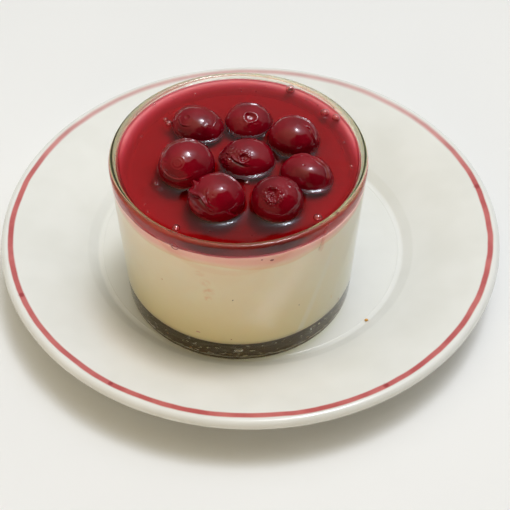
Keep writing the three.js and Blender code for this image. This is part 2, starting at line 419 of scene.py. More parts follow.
def glass_profile():
    lip = GLASS_WALL / 2
    lip_height = GLASS_RIM - lip
    heel_height = GLASS_FOOT + GLASS_HEEL
    fillet_height = GLASS_FLOOR + GLASS_FILLET
    hollow = smooth_line(
        [(0.2 * GLASS_BEARING, GLASS_FOOT + GLASS_PUSH_UP),
         (0.86 * GLASS_BEARING, GLASS_FOOT + 0.8 * GLASS_PUSH_UP),
         (GLASS_BEARING - 1 * MM, GLASS_FOOT)], 44)
    heel = arc((outer_radius(heel_height) - GLASS_HEEL, heel_height), GLASS_HEEL, -86, 0, 10)
    wall = [(outer_radius(z), z) for z in np.linspace(heel_height, lip_height, 14)[1:-1]]
    top = arc((outer_radius(lip_height) - lip, lip_height), lip, 0, 180, 18)
    inside = [(inner_radius(z), z) for z in np.linspace(lip_height, fillet_height, 14)[1:-1]]
    corner = arc((inner_radius(fillet_height) - GLASS_FILLET, fillet_height), GLASS_FILLET, 0, -90, 10)
    return [(0, GLASS_FOOT + GLASS_PUSH_UP), *hollow, *heel, *wall, *top, *inside, *corner,
            (0.4 * GLASS_BEARING, GLASS_FLOOR), (0, GLASS_FLOOR)]


def glass_skin():
    points, faces = turn(glass_profile(), GLASS_SIDES, (GLASS_X, GLASS_Y))
    out = np.hypot(points[:, 0] - GLASS_X, points[:, 1] - GLASS_Y)
    rise = points[:, 2] - GLASS_FOOT
    under = (rise < 1.05 * GLASS_PUSH_UP) & (out < GLASS_BEARING)
    pebbled = np.clip(rise / (0.3 * GLASS_PUSH_UP), 0, 1) * under
    for size, tall in PEBBLES:
        points[:, 2] += pebbled * tall * lumps(points, size, 3)
    return joined([(points, faces), *seed_skins()])


def seed_skins():
    """Flattened seeds of air shut in the thick base, most of them near its edge."""
    rng = np.random.default_rng(11)
    facing, faces = ball(2)
    inward = [tuple(reversed(face)) for face in faces]
    skins = []
    for number in range(SEEDS):
        around = rng.uniform(0, 2 * math.pi)
        out = rng.uniform(0.80, 0.945) * GLASS_BASE_RADIUS
        up = GLASS_FOOT + rng.uniform(1.8, 5.6) * MM
        size = rng.uniform(0.24, 0.48) * MM * (2.0 if number % 6 == 0 else 1.0)
        half = size * np.array([rng.uniform(0.9, 1.8), 1.0, rng.uniform(0.35, 0.7)])
        rough = facing * half * (1 + 0.25 * lumps(facing, 0.8, number)[:, None])
        spin = np.array([[math.cos(around), -math.sin(around), 0],
                         [math.sin(around), math.cos(around), 0], [0, 0, 1]])
        centre = np.array([GLASS_X + out * math.cos(around), GLASS_Y + out * math.sin(around), up])
        skins.append((rough[:, [1, 0, 2]] @ spin.T + centre, inward))
    return skins


def beside_axis(tree, place):
    """How far outside the wall's inner face a place lies, and how high it is."""
    parts = add(tree, "ShaderNodeSeparateXYZ", {"Vector": place}).outputs
    flat = add(tree, "ShaderNodeCombineXYZ", {"X": parts["X"], "Y": parts["Y"]}).outputs["Vector"]
    away = add(tree, "ShaderNodeVectorMath", {0: flat, 1: (GLASS_X, GLASS_Y, 0)}, operation="DISTANCE")
    wall = calc(tree, "MULTIPLY_ADD", parts["Z"], WALL_SLOPE,
                GLASS_BASE_RADIUS - GLASS_WALL - WALL_SLOPE * GLASS_FOOT)
    return calc(tree, "SUBTRACT", away.outputs["Value"], wall), parts["Z"]


def pass_light(tree, shader, output, colour):
    """Lets the lamps' light through a clear thing, tinted, so that it casts no black shadow."""
    clear = add(tree, "ShaderNodeBsdfTransparent", {"Color": colour})
    lamp = add(tree, "ShaderNodeLightPath")
    either = add(tree, "ShaderNodeMixShader",
                 {0: lamp.outputs["Is Shadow Ray"], 1: shader.outputs["BSDF"],
                  2: clear.outputs["BSDF"]})
    tree.links.new(either.outputs["Shader"], output.inputs["Surface"])


def clear_up(shader, colour, roughness, index):
    """Makes a shader a clear substance of a tint, a roughness and a refractive index."""
    shader.inputs["Base Color"].default_value = (*colour, 1)
    shader.inputs["Roughness"].default_value = roughness
    shader.inputs["IOR"].default_value = index
    shader.inputs["Transmission Weight"].default_value = 1.0


def make_clear_glass():
    finish, tree, shader, output, place = start_finish("soda_glass")
    clear_up(shader, (0.97, 0.985, 0.965), 0.0, 1.5)
    ripple(tree, shader, place, 70.0, 2.0, 0.04, 0.3 * MM)
    # Where jelly or cream wets the inside it leaves the wall no mirror
    out, up = beside_axis(tree, place)
    wetted = times(tree, calc(tree, "LESS_THAN", out, 0.3 * MM),
                  calc(tree, "LESS_THAN", up, JELLY_LEVEL + 0.4 * MM))
    wetted = times(tree, wetted, calc(tree, "GREATER_THAN", up, GLASS_FLOOR - 0.5 * MM))
    tree.links.new(blend(tree, wetted, (1, 1, 1), (0, 0, 0)), shader.inputs["Specular Tint"])
    pass_light(tree, shader, output, (0.985, 0.99, 0.97, 1))
    depth = add(tree, "ShaderNodeVolumeAbsorption", {"Color": (0.72, 0.74, 0.42, 1), "Density": 26.0})
    tree.links.new(depth.outputs["Volume"], output.inputs["Volume"])
    return finish


make_piece("tumbler", glass_skin(), make_clear_glass(), "clear_glass", "glass")

# ---- Cherries' places ------------------------------------------------------------------
# The cherries are laid on the setting jelly by hand, some deeper than others. Each one's
# half sizes run along, across and up; the jelly's surface climbs a little round each.

CHERRIES = {
    "cherry_1": dict(half=(8.3, 6.95, 6.05), turn=-25),
    "cherry_2": dict(half=(7.45, 6.95, 5.7), turn=0),
    "cherry_3": dict(half=(7.8, 7.2, 6.55), turn=-20),
    "cherry_4": dict(half=(8.4, 7.95, 7.45), turn=10),
    "cherry_5": dict(half=(8.35, 7.3, 6.3), turn=0),
    "cherry_6": dict(half=(8.05, 6.6, 6.0), turn=-25),
    "cherry_7": dict(half=(8.15, 7.6, 7.1), turn=0),
    "cherry_8": dict(half=(7.6, 7.1, 6.75), turn=-5),
}
for name, cherry in CHERRIES.items():
    low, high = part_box(name)
    cherry["centre"] = np.array((low + high) / 2)
    cherry["half"] = np.array(cherry["half"]) * MM
    angle = math.radians(cherry["turn"])
    cherry["across"] = np.array([[math.cos(angle), -math.sin(angle), 0],
                                 [math.sin(angle), math.cos(angle), 0], [0, 0, 1]])

# ---- Cream -----------------------------------------------------------------------------
# Smooth cream poured into the glass and set cold. It clings a little higher at the wall.
# Juice has crept down between it and the glass: red at the seam, pink, then faintly orange.

CREAM_SIDES = 192
CREAM_RINGS = 60
CREAM_LEVEL = GLASS_FOOT + 48.4 * MM
CREAM_AT_WALL = GLASS_FOOT + 49.6 * MM
CLIMB = 2.2 * MM
# At the back and the sides it clings higher than at the front, and starts to rise farther in
BACK_RISE = 3.65 * MM
BACK_REACH = 2.9 * MM
INTO_WALL = 0.1 * MM
# A spoon has left the cream lower near the front: place from the axis, half sizes, depth
HOLLOW = (3 * MM, -31 * MM, 15 * MM, 8 * MM, 2.0 * MM)
SEAM_DEPTH = 0.5 * MM
STAIN_DEPTH = (3.6 * MM, 6.6 * MM)

# Round the glass: how far round its axis in radians, how high above its foot, how far out
round_glass, given, result = start_group(
    "round_the_glass", [("Place", "Vector")], [("Around", "Float"), ("Up", "Float"), ("Out", "Float")])
offset = add(round_glass, "ShaderNodeVectorMath",
             {0: given["Place"], 1: (GLASS_X, GLASS_Y, GLASS_FOOT)}, operation="SUBTRACT")
parts = add(round_glass, "ShaderNodeSeparateXYZ", {"Vector": offset.outputs["Vector"]}).outputs
round_glass.links.new(calc(round_glass, "ARCTAN2", parts["Y"], parts["X"]), result["Around"])
round_glass.links.new(parts["Z"], result["Up"])
squares = [times(round_glass, parts[axis], parts[axis]) for axis in "XY"]
round_glass.links.new(calc(round_glass, "SQRT", calc(round_glass, "ADD", *squares)), result["Out"])


def back_share(x, y):
    """How far places lie toward the back of the glass, from 0 at the front to 1."""
    share = np.clip(((y - GLASS_Y) / np.maximum(np.hypot(x - GLASS_X, y - GLASS_Y), MM) + 0.45) / 0.75, 0, 1)
    return share**2 * (3 - 2 * share)


def cream_height(x, y):
    """How high the cream's surface stands at places on the glass's plan."""
    right, back, wide, deep, depth = HOLLOW
    off = ((x - GLASS_X - right) / wide) ** 2 + ((y - GLASS_Y - back) / deep) ** 2
    level = CREAM_LEVEL - depth * np.exp(-off)
    behind = back_share(x, y)
    at_wall = CREAM_AT_WALL + BACK_RISE * behind
    from_wall = inner_radius(at_wall) + INTO_WALL - np.hypot(x - GLASS_X, y - GLASS_Y)
    near = np.clip(1 - from_wall / (CLIMB + BACK_REACH * behind), 0, 1)
    return level + (at_wall - level) * near**2 * (1 + 2 * behind * (1 - near))


def disc_rings(edge, count, sides, height):
    """Rings from an edge round the glass's axis inwards, each at the height of its places."""
    shares = np.linspace(1, 0, count, endpoint=False)
    shares = shares + 0.06 * np.sin(math.pi * shares)
    around = circle(sides) * np.broadcast_to(edge, sides)[:, None]
    flats = [(GLASS_X, GLASS_Y) + share * around for share in shares]
    return [np.column_stack([flat, height(flat[:, 0], flat[:, 1])]) for flat in flats]


def ring_at(radius, height, sides):
    """One level ring round the glass's axis."""
    return np.column_stack([(GLASS_X, GLASS_Y) + radius * circle(sides), np.full(sides, height)])


def cream_edge(sides):
    """How far out the cream's top edge lies, all round the wall."""
    ring = ring_at(GLASS_BASE_RADIUS, 0, sides)
    return inner_radius(CREAM_AT_WALL + BACK_RISE * back_share(ring[:, 0], ring[:, 1])) + INTO_WALL


def cream_skin():
    fillet_height = GLASS_FLOOR + GLASS_FILLET
    corner = arc((inner_radius(fillet_height) - GLASS_FILLET, fillet_height),
                 GLASS_FILLET + INTO_WALL, -90, 0, 10)
    side = [(inner_radius(z) + INTO_WALL, z) for z in np.linspace(fillet_height, CREAM_AT_WALL, 20)[1:-1]]
    rings = [ring_at(radius, height, CREAM_SIDES) for radius, height in [*corner, *side]]
    rings += disc_rings(cream_edge(CREAM_SIDES), CREAM_RINGS, CREAM_SIDES, cream_height)
    return close_rings(rings, (GLASS_X, GLASS_Y, GLASS_FLOOR - INTO_WALL), (GLASS_X, GLASS_Y, CREAM_LEVEL))


def make_cream():
    finish, tree, shader, output, place = start_finish("set_cream")
    where = use(tree, round_glass, {"Place": place})
    behind = fade(tree, calc(tree, "SINE", where["Around"]), -0.45, 0.3)
    at_wall = calc(tree, "MULTIPLY_ADD", behind, BACK_RISE, CREAM_AT_WALL - GLASS_FOOT)
    down = calc(tree, "SUBTRACT", at_wall, where["Up"])
    tone = drifting(tree, place, 90.0, 3.0)
    slow = drifting(tree, place, 28.0, 1.0)
    body = blend(tree, tone, (0.985, 0.872, 0.71), (0.995, 0.912, 0.77))
    pores = speckled(tree, place, 260.0, 0.07, 0.06)
    body = blend(tree, times(tree, pores, 0.25), body, (0.55, 0.46, 0.30))
    # Darker and yellower toward the base: painted shade, where less light reaches the low wall
    painted_low_shade = fade(tree, where["Up"], 36 * MM, 8 * MM)
    body = blend(tree, times(tree, painted_low_shade, 0.9), body, (0.90, 0.80, 0.50))
    # On the right it is lighter and whiter: painted light, where the lamp falls more on that side
    painted_right_light = times(tree, fade(tree, where["Around"], -1.2, -0.7), fade(tree, where["Around"], 0.6, 0.1))
    body = blend(tree, times(tree, painted_right_light, 0.55), body, (0.995, 0.955, 0.86))
    # A faint orange mark where some juice ran down and was wiped
    mottled = drifting(tree, place, 800.0, 3.0)
    for around, up, across, strength in [(-107.5, 40.5, 2.0, 0.16), (-105.0, 36.5, 2.2, 0.18),
                                         (-103.6, 32.8, 2.4, 0.3), (-104.2, 29.5, 1.7, 0.26)]:
        angle, reach = math.radians(around), GLASS_BASE_RADIUS - GLASS_WALL + WALL_SLOPE * up * MM
        middle = (GLASS_X + reach * math.cos(angle), GLASS_Y + reach * math.sin(angle), GLASS_FOOT + up * MM)
        mark = use(tree, spot, {"Place": place, "Middle": middle, "Size": across * MM})["Mask"]
        mark = times(tree, mark, mottled, 2 * strength)
        body = blend(tree, mark, body, (0.86, 0.47, 0.30))
    # A whiter streak runs down the wall on one side
    lean = calc(tree, "MULTIPLY_ADD", where["Up"], 0.0093 / MM, -1.10)
    beside = calc(tree, "ABSOLUTE", calc(tree, "SUBTRACT", where["Around"], lean))
    whiter_streak = times(tree, fade(tree, beside, 0.05, 0.01), fade(tree, down, 6 * MM, 12 * MM))
    body = blend(tree, times(tree, whiter_streak, 0.6), body, (0.99, 0.95, 0.86))
    # The stain's lower edge wanders, and its colour gathers there
    depth = calc(tree, "MULTIPLY_ADD", slow, STAIN_DEPTH[1] - STAIN_DEPTH[0], STAIN_DEPTH[0])
    fringe = times(tree, fade(tree, down, depth, calc(tree, "SUBTRACT", depth, 0.7 * MM)),
                  fade(tree, calc(tree, "SUBTRACT", depth, down), 2.2 * MM, 0.4 * MM))
    body = blend(tree, times(tree, fringe, 0.55), body, (0.92, 0.62, 0.40))
    ratio = calc(tree, "DIVIDE", down, depth)
    pink = times(tree, fade(tree, ratio, 1.0, 0.45), calc(tree, "MULTIPLY_ADD", tone, 0.15, 0.8))
    wall = calc(tree, "MULTIPLY_ADD", where["Up"], WALL_SLOPE, GLASS_BASE_RADIUS - GLASS_WALL)
    under_jelly = fade(tree, calc(tree, "SUBTRACT", wall, where["Out"]), 0.2 * MM, 0.9 * MM)
    pink = calc(tree, "MAXIMUM", pink, times(tree, under_jelly, 0.35))
    stained = blend(tree, pink, body, (1.0, 0.52, 0.48))
    ragged = calc(tree, "MULTIPLY_ADD", tone, SEAM_DEPTH, 0.25 * MM)
    seam = fade(tree, down, calc(tree, "ADD", ragged, 0.35 * MM), ragged)
    seam = times(tree, seam, calc(tree, "SUBTRACT", 1.0, under_jelly))
    stained = blend(tree, seam, stained, (0.36, 0.012, 0.03))
    # Painted shade: the underside gets no light, so it is coloured a dark brown that shows through the base
    painted_underside_shade = fade(tree, where["Up"], GLASS_FLOOR - GLASS_FOOT + 1.1 * MM, GLASS_FLOOR - GLASS_FOOT + 0.2 * MM)
    painted_underside_shade = times(tree, painted_underside_shade, calc(tree, "MULTIPLY_ADD", slow, 0.2, 0.75))
    tree.links.new(blend(tree, painted_underside_shade, stained, (0.42, 0.25, 0.07)), shader.inputs["Base Color"])
    shader.inputs["Roughness"].default_value = 0.45
    shader.inputs["Subsurface Weight"].default_value = 0.35
    shader.inputs["Subsurface Radius"].default_value = (1.0, 0.75, 0.5)
    shader.inputs["Subsurface Scale"].default_value = 3 * MM
    return finish


make_piece("set_cream", cream_skin(), make_cream(), "cream", "cream")

# ---- Jelly -----------------------------------------------------------------------------
# Clear dark red cherry jelly, poured thin over the cream almost to the brim. It wets the
# wall and every cherry, so its surface climbs to them and pulls up between close ones.

JELLY_RINGS = 130
JELLY_SECTORS = 448
UNDER_RINGS = 30
# How far it climbs the wall at the front, and how much farther at the back
WALL_CLIMB = 0.7 * MM
BACK_CLIMB = -0.45 * MM
WALL_REACH = 1.1 * MM
# Each cherry lifts the jelly by this, and by more the higher it stands
CHERRY_CLIMB = 0.8 * MM
CLIMB_SHARE = 0.55
# Close to a cherry and farther out: shares of the climb, and how far each reaches
CLIMB_PARTS = [(0.5, 0.65 * MM), (0.5, 2.6 * MM)]
# Set skin pushed into ridges behind the cherries when they were laid: how far out, how high
RIDGED = ["cherry_1", "cherry_2", "cherry_3"]
RIDGES = [(1.5 * MM, 0.22 * MM), (2.7 * MM, 0.13 * MM)]
# Small peaks and furrows: place from the glass's axis, half sizes, height, in millimetres
DIMPLES = [(-24.5, -12.0, 0.9, 0.9, 0.55), (-23.3, -14.0, 1.3, 0.7, 0.25), (-29.0, -13.5, 1.0, 4.5, -0.10),
           (-27.5, -17.5, 0.6, 0.6, 0.18), (18.5, 25.0, 2.5, 1.2, 0.06), (29.0, 3.0, 0.8, 3.0, 0.05)]


def wall_climb(x, y):
    """How far the jelly climbs the wall beside places on the glass's plan."""
    back = back_share(x, y)
    wander = lumps(np.stack([x, y, np.zeros_like(x)], -1).reshape(-1, 3), 6 * MM, 2).reshape(x.shape)
    return WALL_CLIMB + BACK_CLIMB * back + 0.07 * MM * wander


def jelly_height(x, y):
    """How high the jelly's surface stands at places on the glass's plan."""
    from_wall = inner_radius(JELLY_LEVEL) - np.hypot(x - GLASS_X, y - GLASS_Y)
    pulls = (wall_climb(x, y) * np.exp(-np.maximum(from_wall, 0) / WALL_REACH)) ** 2
    flat = np.stack([x, y, np.full_like(x, JELLY_LEVEL)], -1).reshape(-1, 3)
    waves = 0.035 * MM * lumps(flat, 9 * MM, 5) + 0.012 * MM * lumps(flat, 2.5 * MM, 6)
    for name, cherry in CHERRIES.items():
        local = (flat - cherry["centre"]) @ cherry["across"] / cherry["half"]
        section = math.sqrt(1 - local[0, 2] ** 2)
        away = (np.hypot(local[:, 0], local[:, 1]) - section) * cherry["half"][:2].mean()
        climb = CHERRY_CLIMB + CLIMB_SHARE * (cherry["centre"][2] - JELLY_LEVEL)
        lift = sum(share * np.exp(-np.maximum(away, 0) / reach) for share, reach in CLIMB_PARTS)
        pulls = pulls + (climb * lift.reshape(x.shape)) ** 2
        if name in RIDGED:
            behind = np.clip((local[:, 1] + 0.2) * 2, 0, 1) * (0.7 + lumps(flat, 4 * MM, 7))
            for out, tall in RIDGES:
                wander = out + 0.35 * MM * lumps(flat, 5 * MM, 8)
                waves = waves + tall * behind * np.exp(-((away - wander) / (0.28 * MM)) ** 2)
    for right, back, wide, deep, tall in DIMPLES:
        off = np.hypot((x - GLASS_X - right * MM) / (wide * MM), (y - GLASS_Y - back * MM) / (deep * MM))
        waves = waves + tall * MM * np.exp(-off.ravel() ** 2)
    return JELLY_LEVEL + np.sqrt(pulls) + waves.reshape(x.shape)


def jelly_skin():
    """The layer's skin: under it the cream, then up the wall and a little way round the lip."""
    under = disc_rings(cream_edge(JELLY_SECTORS), UNDER_RINGS, JELLY_SECTORS,
                       lambda x, y: cream_height(x, y) - INTO_WALL)[::-1]
    lip = GLASS_WALL / 2
    lip_height = GLASS_RIM - lip
    edge = inner_radius(lip_height) + INTO_WALL
    upper = disc_rings(edge, JELLY_RINGS, JELLY_SECTORS, jelly_height)
    first = upper[0] - (GLASS_X, GLASS_Y, lip_height)
    inset = lip - np.sqrt(lip**2 - np.clip(first[:, 2], 0, 0.95 * lip) ** 2)
    upper[0][:, :2] += first[:, :2] / np.linalg.norm(first[:, :2], axis=1)[:, None] * inset[:, None]
    rings = [*under, ring_at(edge, lip_height, JELLY_SECTORS), *upper]
    middle = np.array([GLASS_X, GLASS_Y])
    top = jelly_height(middle[:1], middle[1:])[0]
    return close_rings(rings, (*middle, CREAM_LEVEL - INTO_WALL), (*middle, top))


def make_jelly(name, thickness_colour):
    finish, tree, shader, output, place = start_finish(name)
    clear_up(shader, (1.0, 0.93, 0.93), 0.0, 1.35)
    ripple(tree, shader, place, 420.0, 2.0, 0.05, 0.1 * MM)
    # Its side is shut against the glass and mirrors nothing
    shut_in = calc(tree, "GREATER_THAN", beside_axis(tree, place)[0], 0.0)
    tree.links.new(blend(tree, shut_in, (1, 1, 1), (0, 0, 0)), shader.inputs["Specular Tint"])
    pass_light(tree, shader, output, (1.0, 0.96, 0.96, 1))
    depth = add(tree, "ShaderNodeVolumeAbsorption", {"Color": (*thickness_colour, 1), "Density": 560.0})
    tree.links.new(depth.outputs["Volume"], output.inputs["Volume"])
    return finish


jelly_finish = make_jelly("cherry_jelly", (0.78, 0.028, 0.19))
make_piece("cherry_jelly_layer", jelly_skin(), jelly_finish, "jelly", "cherry_jelly")

# ---- Cherries ----------------------------------------------------------------------------
# Whole sour cherries, pitted and poached, so that the skins are dark, tight and wet. Some
# have wrinkled, folded or torn where the stone was pushed out. They lie half sunk.

# Marks on each skin, by the direction of their middle or path on the fruit: degrees round
# from its long side and up from level. Sizes are millimetres across, then high or deep.
SKIN_MARKS = {
    "cherry_1": [("ring", [(-126, 62)], 0.9, 0.10), ("dent", [(-126, 62)], 0.5, 0.22),
                 ("fold", [(-152, 52), (-130, 18), (-96, 2)], 0.35, 0.14), ("dent", [(-4, 7)], 1.2, 0.35),
                 ("crumple", [(-37, 43)], 2.4, 0.05),
                 ("fold", [(-160, 10), (-178, 30), (150, 45), (110, 56), (70, 58), (20, 50), (-20, 38)],
                  0.24, 0.2),
                 ("fold", [(-150, 44), (-120, 38), (-95, 46)], 0.3, 0.1)],
    "cherry_2": [("hole", [(-83, 65)], 1.35, 0.75), ("crumple", [(-92, 43)], 0.9, 0.25),
                 ("crumple", [(-78, 50)], 0.8, 0.25), ("crumple", [(-66, 43)], 0.7, 0.2),
                 ("fold", [(172, 24), (145, 44), (105, 56), (70, 55), (32, 38)], 0.4, 0.24)],
    "cherry_3": [("fold", [(12, 66), (2, 50), (-9, 38), (-15, 10)], 0.28, 0.18),
                 ("fold", [(150, 44), (105, 58), (60, 52), (25, 34), (2, 14)], 0.25, 0.17),
                 ("dent", [(-76, 9)], 0.4, 0.12), ("dent", [(60, 10)], 1.0, 0.3)],
    "cherry_4": [("ring", [(-122, 48)], 2.0, 0.07), ("ring", [(-122, 48)], 1.1, 0.06),
                 ("crumple", [(-163, 27)], 1.9, 0.28), ("crumple", [(-150, 14)], 1.2, 0.2),
                 ("fold", [(-172, 22), (165, 35), (140, 47), (110, 56), (84, 58), (60, 54), (36, 44)],
                  0.3, 0.26),
                 ("fold", [(-155, 6), (-132, 4), (-105, 2)], 0.35, 0.14),
                 ("fold", [(-176, 44), (-160, 26), (-138, 14), (-112, 12), (-84, 20)], 0.22, 0.2)],
    "cherry_5": [("hole", [(-101, 54)], 1.0, 0.6), ("crumple", [(-101, 54)], 2.0, 0.32),
                 ("crumple", [(-168, 52)], 1.8, 0.35), ("crumple", [(-150, 30)], 2.4, 0.4),
                 ("crumple", [(-128, 66)], 1.5, 0.2), ("crumple", [(-178, 14)], 1.8, 0.35),
                 ("fold", [(-152, 48), (-120, 42), (-90, 36)], 0.4, 0.25)],
    "cherry_6": [("fold", [(80, 60), (53, 63), (19, 44), (-9, 25), (-22, 8)], 0.42, 0.32),
                 ("fold", [(160, 34), (125, 50), (90, 56)], 0.4, 0.2),
                 ("hole", [(-96, 74)], 0.28, 0.3), ("dent", [(-16, 12)], 1.6, 0.3)],
    "cherry_7": [("fold", [(176, 12), (171, 20), (-160, 34), (-139, 42), (-118, 34), (-101, 20)], 0.5, 0.42),
                 ("fold", [(168, 44), (151, 30), (148, 8)], 0.5, 0.45),
                 ("fold", [(-168, 16), (-150, 10), (-118, 1)], 0.4, 0.28),
                 ("crumple", [(178, 8)], 1.8, 0.4), ("fold", [(-62, 10), (-50, -3), (-40, -12)], 0.4, -0.2),
                 ("fold", [(-128, 60), (-112, 40), (-98, 30)], 0.3, 0.14), ("dent", [(-100, 52)], 0.35, 0.1),
                 ("fold", [(120, 52), (75, 56), (30, 48), (0, 28), (-15, 10)], 0.25, 0.16)],
    "cherry_8": [("hole", [(-106, 58)], 1.5, 0.7), ("crumple", [(-103, 56)], 2.9, 0.7),
                 ("crumple", [(-100, 42)], 1.6, 0.3), ("crumple", [(15, 59)], 1.7, 0.28),
                 ("crumple", [(30, 40)], 1.5, 0.25), ("crumple", [(-125, 25)], 1.4, 0.05)],
}
FINE_DETAIL = 7
PLAIN_DETAIL = 6
PLAINEST = ["cherry_2", "cherry_6"]


def heading(around, lift):
    """The unit direction at so many degrees around from +X and up from level."""
    a, b = math.radians(around), math.radians(lift)
    return np.array([math.cos(b) * math.cos(a), math.cos(b) * math.sin(a), math.sin(b)])


def beside_path(facing, path):
    """Signed angle from a path on the unit ball, and whether its ends are near."""
    stops = np.array(smooth_line([tuple(heading(*stop)) for stop in path], 6))
    stops /= np.linalg.norm(stops, axis=1)[:, None]
    best = np.full(len(facing), 9.0)
    side = np.zeros(len(facing))
    for start, end in zip(stops, stops[1:]):
        share = np.clip((facing - start) @ (end - start) / np.sum((end - start) ** 2), 0, 1)
        foot = start + share[:, None] * (end - start)
        far = np.linalg.norm(facing - foot, axis=1)
        closer = far < best
        best = np.where(closer, far, best)
        side = np.where(closer, np.sign(facing @ np.cross(start, end)), side)
    along = np.linalg.norm(stops[:1] - stops[-1:])
    ends = np.minimum(np.linalg.norm(facing - stops[0], axis=1), np.linalg.norm(facing - stops[-1], axis=1))
    return best * side, np.clip(ends / (0.25 * along), 0, 1)


def marked(facing, size, marks, seed):
    """How far the marks push a skin out, at directions from the middle of a fruit."""
    push = np.zeros(len(facing))
    fine = lumps(facing * size, 0.75 * MM, seed)
    coarse = lumps(facing * size, 1.6 * MM, seed + 9)
    creased = 0.6 * (1 - 2.2 * np.abs(coarse)) + 0.4 * (1 - 2.2 * np.abs(fine))
    for kind, path, wide, tall in marks:
        wide, tall = wide * MM, tall * MM
        if kind == "fold":
            off, inside = beside_path(facing, path)
            off = off * size + 0.25 * wide * coarse
            lip = 2.1 * np.exp(-((off / wide) ** 2)) - 1.3 * np.exp(-(((off + 1.3 * wide) / wide) ** 2))
            push += tall * inside * lip
            continue
        far = np.arccos(np.clip(facing @ heading(*path[0]), -1, 1)) * size
        if kind == "dent":
            push -= tall * np.exp(-((far / wide) ** 2))
        elif kind == "ring":
            push += tall * np.exp(-(((far - wide) / (0.22 * MM)) ** 2))
        elif kind == "hole":
            wander = wide * (1 + 0.18 * coarse)
            push -= tall / (1 + np.exp(np.clip((far - wander) / (0.13 * wide), -30, 30)))
            push += 0.22 * tall * np.exp(-(((far - 1.35 * wander) / (0.35 * wide)) ** 2))
        else:
            push += tall * creased * np.exp(-((far / wide) ** 4))
    return push


def cherry_skin(name, cherry, detail, seed):
    facing, faces = ball(detail)
    size = cherry["half"].mean()
    push = 0.024 * size * lumps(facing, 0.9, seed) + 0.011 * size * lumps(facing, 0.33, seed)
    slack = np.clip(2 * lumps(facing, 0.5, seed + 30), 0, 1)
    push += 0.010 * size * lumps(facing, 0.16, seed + 20) * slack
    push += marked(facing, size, SKIN_MARKS[name], seed)
    body = facing * (cherry["half"] + push[:, None])
    return body @ cherry["across"].T + cherry["centre"], faces


def make_cherry_skin():
    finish, tree, shader, output, place = start_finish("poached_cherry")
    tone = drifting(tree, place, 160.0, 3.0)
    colour = blend(tree, tone, (0.145, 0.0005, 0.006), (0.23, 0.0012, 0.010))
    blush = drifting(tree, place, 75.0, 1.0)
    colour = blend(tree, times(tree, blush, 0.5), colour, (0.31, 0.002, 0.012))
    freckles = speckled(tree, place, 900.0, 0.25, 0.12)
    colour = blend(tree, times(tree, freckles, 0.25), colour, (0.33, 0.03, 0.02))
    tree.links.new(colour, shader.inputs["Base Color"])
    shader.inputs["Roughness"].default_value = 0.045
    shader.inputs["IOR"].default_value = 1.48
    ripple(tree, shader, place, 700.0, 3.0, 0.04, 0.1 * MM)
    return finish


cherry_finish = make_cherry_skin()
for seed, (name, cherry) in enumerate(CHERRIES.items()):
    detail = PLAIN_DETAIL if name in PLAINEST else FINE_DETAIL
    make_piece(name + "_fruit", cherry_skin(name, cherry, detail, seed), cherry_finish, "cherry", name)

# ---- Bubbles -----------------------------------------------------------------------------
# Air bubbles caught in the jelly's skin as it set: thin domes that stand half out of it.
# Most lie along the wall; a few sit against the cherries.

# Place from the glass's axis, radius, and how long it is to the right, in millimetres
BUBBLES = [
    (-22.6, 16.2, 0.7, 1.0), (-21.4, 14.4, 0.85, 1.1), (16.2, 30.9, 1.35, 1.0), (26.6, 19.7, 1.1, 1.15),
    (30.0, 17.3, 1.0, 1.15), (22.7, -26.2, 1.0, 1.2), (-17.4, -30.3, 0.95, 1.1), (2.5, -11.9, 0.7, 1.2),
    (-25.7, -23.9, 0.4, 1.0), (-26.3, 23.9, 0.4, 1.0), (18.9, 15.6, 0.8, 1.0), (-26.8, -20.6, 0.28, 1.0),
    (-13.8, 28.7, 0.38, 1.0), (0.6, 31.2, 0.3, 1.0), (5.3, 30.2, 0.25, 1.0), (-29.5, 8.5, 0.3, 1.0),
    (24.5, 23.5, 0.3, 1.0), (31.8, 6.0, 0.35, 1.0), (33.5, -4.5, 0.4, 1.0), (-8.0, -31.5, 0.25, 1.0),
    (4.0, -33.0, 0.22, 1.0), (-20.5, 26.5, 0.25, 1.0), (9.0, 32.6, 0.25, 1.0), (21.0, 26.0, 0.3, 1.0),
]
BUBBLE_SKIN = 0.12


def bubble_skin(right, back, radius, long):
    facing, faces = ball(3 if radius > 0.5 else 2)
    count = len(facing)
    half = np.array([radius * long, radius, radius * 0.9]) * 1.1 * MM
    x, y = np.array([GLASS_X + right * MM]), np.array([GLASS_Y + back * MM])
    middle = np.array([x[0], y[0], jelly_height(x, y)[0] + 0.3 * radius * MM])
    shells = [middle + facing * half, middle + facing * half * (1 - BUBBLE_SKIN)]
    inside = [tuple(count + i for i in reversed(face)) for face in faces]
    return np.concatenate(shells), faces + inside


def make_bubble_film():
    finish, tree, shader, output, place = start_finish("bubble_film")
    clear_up(shader, (1.0, 0.80, 0.80), 0.02, 1.75)
    ripple(tree, shader, place, 900.0, 2.0, 0.2, 0.05 * MM)
    return finish


make_piece("jelly_bubbles", joined([bubble_skin(*bubble) for bubble in BUBBLES]), make_bubble_film(), "jelly")

# ---- Runs and marks on the wall ------------------------------------------------------------
# Where the jelly was poured it has run over the brim in one place, left films on the inside
# of the wall, and closed round a bubble against the glass.

# Degrees round and millimetres above the glass's foot, half width and thickness of each run
BRIM_RUN = [(-47.5, 54.1, 0.9, 0.22), (-49.4, 52.4, 1.0, 0.28), (-50.2, 50.2, 0.8, 0.22),
            (-51.0, 47.2, 0.75, 0.25), (-51.5, 45.2, 0.95, 0.42), (-51.6, 44.3, 0.5, 0.25)]
INNER_FILMS = [
    [(118, 54.0, 0.5, 0.06), (128, 54.1, 0.6, 0.08), (140, 54.0, 0.5, 0.07), (150, 53.9, 0.4, 0.05)],
    [(36, 53.9, 0.4, 0.05), (46, 54.1, 0.6, 0.08), (58, 54.0, 0.5, 0.06)],
]
WALL_RING = (-118.6, 49.2, 1.05, 0.17)


